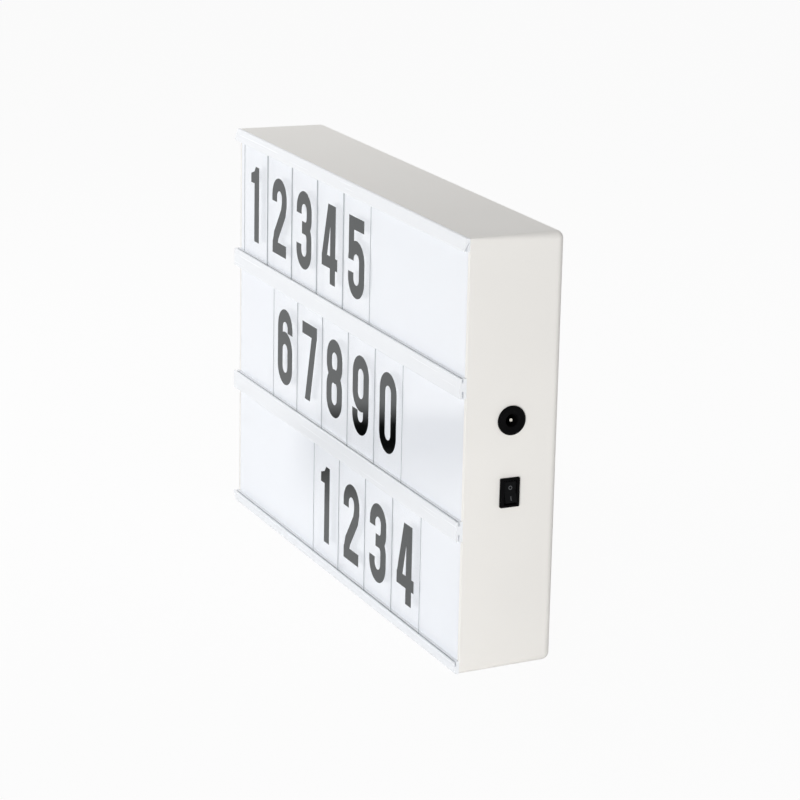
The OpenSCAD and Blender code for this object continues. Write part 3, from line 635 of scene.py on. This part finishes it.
# %% [markdown]
# ## Battery springs
#
# A battery spring is bright wire wound on a cone, wide at its plate and narrow where it meets
# the cell. Blender has a spiral that narrows as it climbs, so the tree needs only that curve and
# a round profile. It is wound once and set on six points. A point's height tells the tree at
# which end of the well the spring stands, and there it is turned over.

# %% Wound springs
CELL_PITCH, CELL_Y, WELL_MIDDLE, PLATE_REACH = 15.3, 18, 65, 28.85  # mm

tree, sizes = new_tree("battery spring", {
    "Wire": 0.8 * MM, "Length": 6.4 * MM, "Base radius": 3.6 * MM, "Tip radius": 2.52 * MM,
    "Turns": 4.0, "Middle height": WELL_MIDDLE * MM, "Material": finishes["bright nickel plate"],
})
half = add(tree, "ShaderNodeMath", {0: sizes["Wire"], 1: 0.5}, operation="MULTIPLY").outputs[0]
rise = add(tree, "ShaderNodeMath", {0: sizes["Length"], 1: sizes["Wire"]}, operation="SUBTRACT")
coil = add(tree, "GeometryNodeCurveSpiral", {
    "Resolution": 20, "Rotations": sizes["Turns"], "Start Radius": sizes["Base radius"],
    "End Radius": sizes["Tip radius"], "Height": rise.outputs[0],
})
profile = add(tree, "GeometryNodeCurvePrimitiveCircle", {"Resolution": 10, "Radius": half})
wire = add(tree, "GeometryNodeCurveToMesh",
           {0: coil.outputs[0], 1: profile.outputs[0], "Fill Caps": True})
lift = add(tree, "ShaderNodeCombineXYZ", {2: half})
stood = add(tree, "GeometryNodeTransform", {0: wire.outputs[0], "Translation": lift.outputs[0]})
spot = add(tree, "GeometryNodeInputPosition").outputs[0]
height = add(tree, "ShaderNodeSeparateXYZ", {0: spot}).outputs[2]
above = add(tree, "ShaderNodeMath", {0: height, 1: sizes["Middle height"]}, operation="GREATER_THAN")
turn = add(tree, "ShaderNodeMath", {0: above.outputs[0], 1: pi}, operation="MULTIPLY")
rotation = add(tree, "ShaderNodeCombineXYZ", {0: turn.outputs[0]})
springs = add(tree, "GeometryNodeInstanceOnPoints", {
    "Points": sizes["Seed mesh"], "Instance": stood.outputs[0], "Rotation": rotation.outputs[0],
})
close_tree(tree, springs.outputs[0], sizes["Material"])

cells = [((i - 2.5) * CELL_PITCH, 1 if i % 2 == 0 else -1) for i in range(6)]  # x, spring up or down
spots = [Vector((x, CELL_Y, WELL_MIDDLE + end * PLATE_REACH)) * MM for x, end in cells]
coils = grow("wound_springs", tree, spots, [], {}, "housing", "bright nickel plate",
             ["battery_springs"])
print(len(shade(coils).data.polygons), "faces in six springs")

# %% [markdown]
# ## Turned parts: screws, lamp windows and solder
#
# A screw is turned, so its outline goes round an axis. In Geometry Nodes a lathe is a Curve to
# Mesh along a tiny circle, with the outline as the profile. The seed mesh carries both things
# that the tree needs: the outline as points joined by edges, and the places as loose points. A
# Vertex Neighbors node tells them apart. The outline is turned over before it goes round, so that
# the faces look outward. Where the part has a cross recess, two bars cut it, and each copy is
# turned by its own amount about its axis, from a fixed seed.

# %% A lathe
AXIS = 0.01 * MM  # the radius of the tiny circle

tree, sizes = new_tree("turned part", {
    "Steps round": 24, "Cross recess": False, "Recess length": 2.6 * MM, "Recess width": 0.6 * MM,
    "Recess depth": 0.9 * MM, "Head height": 1.5 * MM, "Seed": 7,
    "Material": finishes["zinc-plated steel"],
})
joined = add(tree, "GeometryNodeInputMeshVertexNeighbors").outputs["Vertex Count"]
loose = add(tree, "ShaderNodeMath", {0: joined, 1: 0.5}, operation="LESS_THAN")
parts = add(tree, "GeometryNodeSeparateGeometry",
            {0: sizes["Seed mesh"], "Selection": loose.outputs[0]}, domain="POINT")
outline = add(tree, "GeometryNodeMeshToCurve", {0: parts.outputs["Inverted"]})
shifted = add(tree, "GeometryNodeTransform",
              {0: outline.outputs[0], "Translation": (-AXIS, 0, 0), "Scale": (1, -1, 1)})
axis = add(tree, "GeometryNodeCurvePrimitiveCircle",
           {"Resolution": sizes["Steps round"], "Radius": AXIS})
spun = add(tree, "GeometryNodeCurveToMesh", {0: axis.outputs[0], 1: shifted.outputs[0]})
whole = add(tree, "GeometryNodeMergeByDistance", {0: spun.outputs[0], "Distance": 1e-6})
deep = add(tree, "ShaderNodeMath", {0: sizes["Recess depth"], 1: 2}, operation="MULTIPLY")
bar_size = add(tree, "ShaderNodeCombineXYZ",
               {0: sizes["Recess length"], 1: sizes["Recess width"], 2: deep.outputs[0]})
bar = add(tree, "GeometryNodeMeshCube", {"Size": bar_size.outputs[0]})
on_head = add(tree, "ShaderNodeCombineXYZ", {2: sizes["Head height"]})
first_bar = add(tree, "GeometryNodeTransform", {0: bar.outputs[0], "Translation": on_head.outputs[0]})
second_bar = add(tree, "GeometryNodeTransform", {0: first_bar.outputs[0], "Rotation": (0, 0, pi / 2)})
cross = add(tree, "GeometryNodeJoinGeometry")
for cutter in (first_bar, second_bar):
    tree.links.new(cutter.outputs[0], cross.inputs[0])
recessed = add(tree, "GeometryNodeMeshBoolean",
               {0: whole.outputs[0], 1: cross.outputs[0], "Self Intersection": True},
               operation="DIFFERENCE", solver="EXACT")
shape = add(tree, "GeometryNodeSwitch",
            {0: sizes["Cross recess"], 1: whole.outputs[0], 2: recessed.outputs[0]},
            input_type="GEOMETRY")
spin = add(tree, "FunctionNodeRandomValue", {2: 0.0, 3: pi / 2, "Seed": sizes["Seed"]},
           data_type="FLOAT")
forward = add(tree, "ShaderNodeCombineXYZ", {0: pi / 2, 1: spin.outputs[1]})
copies = add(tree, "GeometryNodeInstanceOnPoints", {
    "Points": parts.outputs["Selection"], "Instance": shape.outputs[0], "Rotation": forward.outputs[0],
})
close_tree(tree, copies.outputs[0], sizes["Material"])
lathe = tree
print("lathe ready,", len(lathe.nodes), "nodes")


# %% Screws and lamp windows
SCREW_X, LAMP_PITCH = 125, 52  # mm, along a light strip
WINDOW_BACK = 1.2 * MM  # from the strip's face to the floor of a lamp's window


def turn_parts(name, outline, places, choices, material, replaced=()):
    """Turned copies on places. The outline is (radius, height) in mm, from the axis back to it."""
    points = [Vector((r, h, 0)) * MM for r, h in outline] + list(places)
    edges = [(i, i + 1) for i in range(len(outline) - 1)]
    made = grow(name, lathe, points, edges, choices | {"Material": finishes[material]}, "housing",
                material, replaced)
    print(name, len(shade(made).data.polygons), "faces on", len(places), "places")


strips = {}  # the height of each light strip's middle, and the depth of its front face
for strip in ("top", "middle", "bottom"):
    lo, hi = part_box("led_board_" + strip)
    strips[strip] = (lo[2] + hi[2]) / 2, lo[1]

pan_head = [(0, 1.5), (1.3, 1.46), (1.9, 1.25), (2.2, 0.9), (2.3, 0.5), (2.3, 0.15), (2.15, 0),
            (0.97, 0), (0.97, -3.2), (0.5, -3.7), (0, -3.7)]
holes = [Vector((x * MM, face, z)) for z, face in strips.values() for x in (-SCREW_X, SCREW_X)]
turn_parts("cross_screws", pan_head, holes, {"Cross recess": True},
           "zinc-plated steel", ["board_screws"])

window = [(0, 0.36), (1.2, 0.3), (1.95, 0.1), (1.95, 0), (0, 0)]
lamps = [Vector((k * LAMP_PITCH * MM, face - WINDOW_BACK, z)) for z, face in strips.values()
         for k in range(-2, 3)]
turn_parts("lamp_windows", window, lamps, {}, "lamp phosphor under silicone")

# %% [markdown]
# ## Leads
#
# A lead leaves its solder point, swings out and comes back to the next one. Five points say that,
# and a smooth curve runs through them. The tree gives the curve its round skin. Where a pair
# runs side by side, one is red and one black. A small dome of solder holds each end on a strip.

# %% Leads between the solder points
tree, sizes = new_tree("lead", {"Thickness": 1.3 * MM, "Material": finishes["red PVC skin"]})
path = add(tree, "GeometryNodeMeshToCurve", {0: sizes["Seed mesh"]})
smooth = add(tree, "GeometryNodeCurveSplineType", {0: path.outputs[0]}, spline_type="CATMULL_ROM")
half = add(tree, "ShaderNodeMath", {0: sizes["Thickness"], 1: 0.5}, operation="MULTIPLY").outputs[0]
profile = add(tree, "GeometryNodeCurvePrimitiveCircle", {"Resolution": 12, "Radius": half})
skin = add(tree, "GeometryNodeCurveToMesh",
           {0: smooth.outputs[0], 1: profile.outputs[0], "Fill Caps": True})
close_tree(tree, skin.outputs[0], sizes["Material"])

PAD_X, STRIP_FACE, LEAD_HALF = 121, 21.05, 0.65  # mm
height_of = {strip: z / MM for strip, (z, _) in strips.items()}


def pad(strip, aside, up):
    """A solder point on a strip, in mm: how far aside of the first, how far above the middle."""
    return Vector((PAD_X - aside, STRIP_FACE - LEAD_HALF, height_of[strip] + up))


def way(start, leave, middle, arrive, end):
    """Five points in mm. leave and arrive are measured from the ends."""
    return [start, start + Vector(leave), Vector(middle), end + Vector(arrive), end]


lug = Vector((135, -0.15, 124.8))
upper_tab = Vector((132.5, -1.3, 95.1))
lower_tab = Vector((132.5, -1.3, 89.5))
links = {}
for aside in (6, 9):
    links[aside] = []
    for strip, up in (("bottom", -1), ("top", 1)):
        a, b = pad("middle", aside, 3 * up), pad(strip, aside, -3 * up)
        between = (a + b) / 2 - Vector((0, 5, 0))
        links[aside].append(way(a, (0, -3, 6 * up), between, (0, -3, -6 * up), b))
well_lead = {}
for side in (-1, 1):
    a, b = Vector((side * 48.9, 12.45, 41.75)), Vector((side * 60.3, STRIP_FACE - LEAD_HALF, 109))
    well_lead[side] = way(a, (side * 5, -2, 4), (a.x + side * 10, a.y, (a.z + b.z) / 2), (0, -3, -8), b)
to_strip = pad("middle", 0, -3)
runs = {  # piece: (the CAD node it stands for, colour, ways)
    "socket_lead": ("jack_lead", "red", [way(
        lug, (-3, -3, -4), (lug.x - 2, lug.y - 6, (lug.z + upper_tab.z) / 2), (-3, -3, 4),
        upper_tab)]),
    "switched_lead": ("switch_lead", "red", [way(
        lower_tab, (-4, -3, 0), (lower_tab.x - 6, lower_tab.y + 4, lower_tab.z + 8), (6, -4, -6),
        to_strip)]),
    "red_links": ("board_links", "red", links[6]),
    "black_links": ("board_links", "black", links[9]),
    "red_well_lead": ("battery_leads", "red", [well_lead[1]]),
    "black_well_lead": ("battery_leads", "black", [well_lead[-1]]),
}
for name, (node, colour, ways) in runs.items():
    points = [p * MM for row in ways for p in row]
    edges = [(5 * k + i, 5 * k + i + 1) for k in range(len(ways)) for i in range(4)]
    material = colour + " PVC skin"
    lead = grow(name, tree, points, edges, {"Material": finishes[material]}, "housing",
                material, [node])
    print(name, len(shade(lead).data.polygons), "faces")

# %% Solder
dome = [(0, 0.9), (0.6, 0.8), (1.1, 0.45), (1.4, 0), (0, 0)]
ends = [to_strip, well_lead[1][-1], well_lead[-1][-1]]
ends += [end for rows in links.values() for row in rows for end in (row[0], row[-1])]
turn_parts("solder_domes", dome, [Vector((p.x, STRIP_FACE, p.z)) * MM for p in ends],
           {"Steps round": 16}, "tinned brass")

# %% [markdown]
# ## Print
#
# The cards carry plain digits in a narrow poster style: most strokes are 7 mm wide, and most
# bends are half a circle. Such a digit is easiest to say as strokes, the way one would cut it from
# tape: a path and a width. Laid over each other, strokes would overlap and flicker, so a planar
# triangulation joins them: each triangle that lies under any stroke is kept once. The film is
# printed with a thin coat, which gets a real thickness of a few hundredths of a millimetre.
# Light spreads inside an opal sheet and fills the shadow of a letter that stands close in front
# of it, so the coats are left out of the rays that carry light to the sheet.

# %% Strokes to flat shapes
SHARPEST = 0.4  # keeps a mitre at a sharp corner from running out
NEAR = 1e-4  # mm; corners of patches nearer than this are one


def arc(x, y, radius, start, stop, steps=14):
    """Points on an arc round (x, y), between two angles in degrees."""
    turns = [radians(start + (stop - start) * i / steps) for i in range(steps + 1)]
    return [Vector((x + radius * cos(a), y + radius * sin(a))) for a in turns]


def stroke(points, width, closed=False):
    """Four-cornered patches along a path, mitred where they meet."""
    points = [Vector(p) for p in points]
    count = len(points)
    sides = []
    for i, p in enumerate(points):
        ahead = points[(i + 1) % count] - p if closed or i < count - 1 else p - points[i - 1]
        behind = p - points[i - 1] if closed or i else ahead
        way = (ahead.normalized() + behind.normalized()).normalized()
        reach = width / 2 / max(way.dot(ahead.normalized()), SHARPEST)
        side = Vector((way.y, -way.x)) * reach
        sides.append((p + side, p - side))
    pairs = zip(sides, sides[1:] + sides[:1] if closed else sides[1:])
    return [[a[0], b[0], b[1], a[1]] for a, b in pairs]


def print_coat(name, patches, put, thickness, body, material):
    """Joins patches into one flat shape and gives it a thickness. put(u, v, w) says where it goes."""
    corners = [corner for patch in patches for corner in patch]
    faces, first = [], 0
    for patch in patches:
        faces.append(list(range(first, first + len(patch))))
        first += len(patch)
    spots, _, triangles, _, _, sources = delaunay_2d_cdt(corners, [], faces, 0, NEAR, True)
    bm = bmesh.new()
    made = [bm.verts.new((s.x, s.y, 0)) for s in spots]
    for triangle, source in zip(triangles, sources):
        if source:
            bm.faces.new([made[i] for i in triangle])
    bmesh.ops.delete(bm, geom=[v for v in bm.verts if not v.link_faces], context="VERTS")
    raised = bmesh.ops.extrude_face_region(bm, geom=bm.faces[:])["geom"]
    top = [part for part in raised if isinstance(part, bmesh.types.BMVert)]
    bmesh.ops.translate(bm, verts=top, vec=(0, 0, thickness))
    for v in bm.verts:
        v.co = put(*v.co)
    bmesh.ops.recalc_face_normals(bm, faces=bm.faces[:])
    mesh = bpy.data.meshes.new(name)
    bm.to_mesh(mesh)
    bm.free()
    return piece(name, mesh, body, material)


print(len(stroke([(0, 0), (0, 1), (1, 1)], 0.2)), "patches in a test stroke")

# %% Ten digits as strokes
DIGIT_W, DIGIT_H, STROKE = 21, 42.8, 7
mid, bend = DIGIT_W / 2, (DIGIT_W - STROKE) / 2
low, high = DIGIT_W / 2, DIGIT_H - DIGIT_W / 2
edge, far = STROKE / 2, DIGIT_W - STROKE / 2
waist = DIGIT_H * 0.53


def solid(*corners):
    """One patch with straight sides."""
    return [[Vector(c) for c in corners]]


def bowl(y_low, y_high):
    """A closed loop as wide as the digit, between two heights of its middle line."""
    loop = arc(mid, y_high - bend, bend, 0, 180) + arc(mid, y_low + bend, bend, 180, 360)
    return stroke(loop, STROKE, closed=True)


six = bowl(edge, waist + 4) + stroke(
    [(far, high - 2.4)] + arc(mid, high, bend, 0, 180) + [(edge, low)], STROKE)
digits = {
    "0": bowl(edge, DIGIT_H - edge),
    "1": solid((8.6, 0), (15.6, 0), (15.6, DIGIT_H), (10.4, DIGIT_H), (8.6, 39.6))
    + solid((3.6, 38.2), (3.6, 33), (10.4, 33), (10.4, DIGIT_H), (8.4, 39.8)),
    "2": stroke([(edge, high - 3.2)] + arc(mid, high, bend, 180, 0)
                + [(far, 29.5), (16.2, 24.5), (6.2, 10.5), (4.6, 5.5)], STROKE)
    + solid((0.9, 0), (20.6, 0), (20.6, 6.8), (0.9, 6.8)),
    "3": stroke([(edge, high - 2.6)] + arc(mid, high, bend, 180, 0) + [(far, waist + bend - 1)]
                + arc(mid + 1.4, waist + 5.4, bend - 1.5, -8, -85), STROKE)
    + stroke(arc(mid + 1.4, waist - 5.4, bend - 1.5, 85, 8) + [(far, waist - bend + 1)]
             + arc(mid, low, bend, 0, -180) + [(edge, low + 2.6)], STROKE)
    + solid((7.6, waist - 3.4), (12.4, waist - 3.4), (12.4, waist + 3.4), (7.6, waist + 3.4)),
    "4": solid((11.2, 0), (18.2, 0), (18.2, DIGIT_H), (11.2, DIGIT_H))
    + solid((0, 8.4), (DIGIT_W, 8.4), (DIGIT_W, 15), (0, 15))
    + solid((0, 13.6), (6.9, 13.6), (14, DIGIT_H), (8, DIGIT_H)),
    "5": solid((0.4, 20.6), (7.2, 20.6), (7.2, DIGIT_H), (0.4, DIGIT_H))
    + solid((0.4, 36), (20, 36), (20, DIGIT_H), (0.4, DIGIT_H))
    + stroke([(edge, waist - 3.2)] + arc(mid, waist - 2.6, bend, 180, 0)
             + arc(mid, low, bend, 0, -180) + [(edge, low + 2.6)], STROKE),
    "6": six,
    "7": solid((0.3, 36), (20.8, 36), (20.8, DIGIT_H), (0.3, DIGIT_H))
    + solid((4.8, 0), (12, 0), (20.8, 37.2), (20.8, DIGIT_H), (14, DIGIT_H), (13.4, 36)),
    "8": bowl(edge, waist + 0.4) + bowl(waist - 0.4, DIGIT_H - edge),
    "9": [[Vector((DIGIT_W, DIGIT_H)) - corner for corner in patch] for patch in six],
}
print({d: len(patches) for d, patches in digits.items()})

# %% Digits on the cards
COAT = 0.03  # mm
digit_foot = {"1": 160.7, "2": 89.4, "3": 16.5}  # height of the digits' feet in each row, in mm
run = "12345678901234"
cards = sorted(node for node in nodes if node.startswith("card_"))
for card, digit in zip(cards, run):
    lo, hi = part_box(card)
    middle, face, foot = (lo[0] + hi[0]) / 2, lo[1], digit_foot[card.split("_")[1]] * MM

    def put(u, v, w):
        """Where a point of the flat digit, in mm, lies on the card's face."""
        return Vector((middle + (u - mid) * MM, face - w * MM, foot + v * MM))

    coat = print_coat(f"{card}_print", digits[digit], put, COAT, card,
                      "glossy black printing ink")
    coat.visible_shadow = coat.visible_diffuse = False
print(len(cards), "cards are printed")

# %% [markdown]
# ## The marks on the rocker
#
# A ring and a bar stand for off and on. They are pad printed, so they lie on the curved face:
# each point of the flat mark is dropped onto the rocker along X, and lifted by the coat.

# %% Ring and bar
SWITCH_MIDDLE, LINE = 91.4, 0.32  # mm: the height of the switch's middle, the marks' line
RING_UP, RING_RADIUS = 2.6, 0.85  # mm, up from the switch's middle
DROP_FROM = 0.2  # metres, well to the right of the rocker

rocker_mesh = merged("switch_rocker")
rocker_skin = BVHTree.FromBMesh(rocker_mesh)
rocker_mesh.free()
lo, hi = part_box("switch_rocker")
switch_y, switch_z = (lo[1] + hi[1]) / 2, SWITCH_MIDDLE * MM


def on_rocker(u, v, w):
    """Where a point of the flat mark, in mm from the switch's middle, lies on the rocker."""
    start = Vector((DROP_FROM, switch_y + u * MM, switch_z + v * MM))
    return rocker_skin.ray_cast(start, Vector((-1, 0, 0)))[0] + Vector((w * MM, 0, 0))


ring = stroke(arc(0, RING_UP, RING_RADIUS, 0, 360 - 12, 29), LINE, closed=True)
bar_mark = stroke([(0, -3.6), (0, -2.6), (0, -1.6)], LINE)
print_coat("rocker_marks", ring + bar_mark, on_rocker, 0.02, "rocker",
           "grey pad print")
print("marks on the rocker")

# %% [markdown]
# ## Marks in the battery well
#
# A plus and a minus, raised a little from the well's floor, show which way round each cell goes.
# A cell's minus end sits on its spring.

# %% Plus and minus
WELL_FLOOR, MARK_REACH, ARM, BAR = 10.45, 16, 2, 0.8  # mm; an arm is half a mark, a bar its width

marks = []
for x, spring in cells:
    plus, minus = WELL_MIDDLE - spring * MARK_REACH, WELL_MIDDLE + spring * MARK_REACH
    marks += stroke([(x, plus - ARM), (x, plus + ARM)], BAR)
    marks += stroke([(x - ARM, plus), (x + ARM, plus)], BAR)
    marks += stroke([(x - ARM, minus), (x + ARM, minus)], BAR)
print_coat("well_marks", marks, lambda u, v, w: Vector((u, WELL_FLOOR + w, v)) * MM, 0.2, "housing",
           "white ABS with a fine moulded grain")
print(len(marks), "patches")
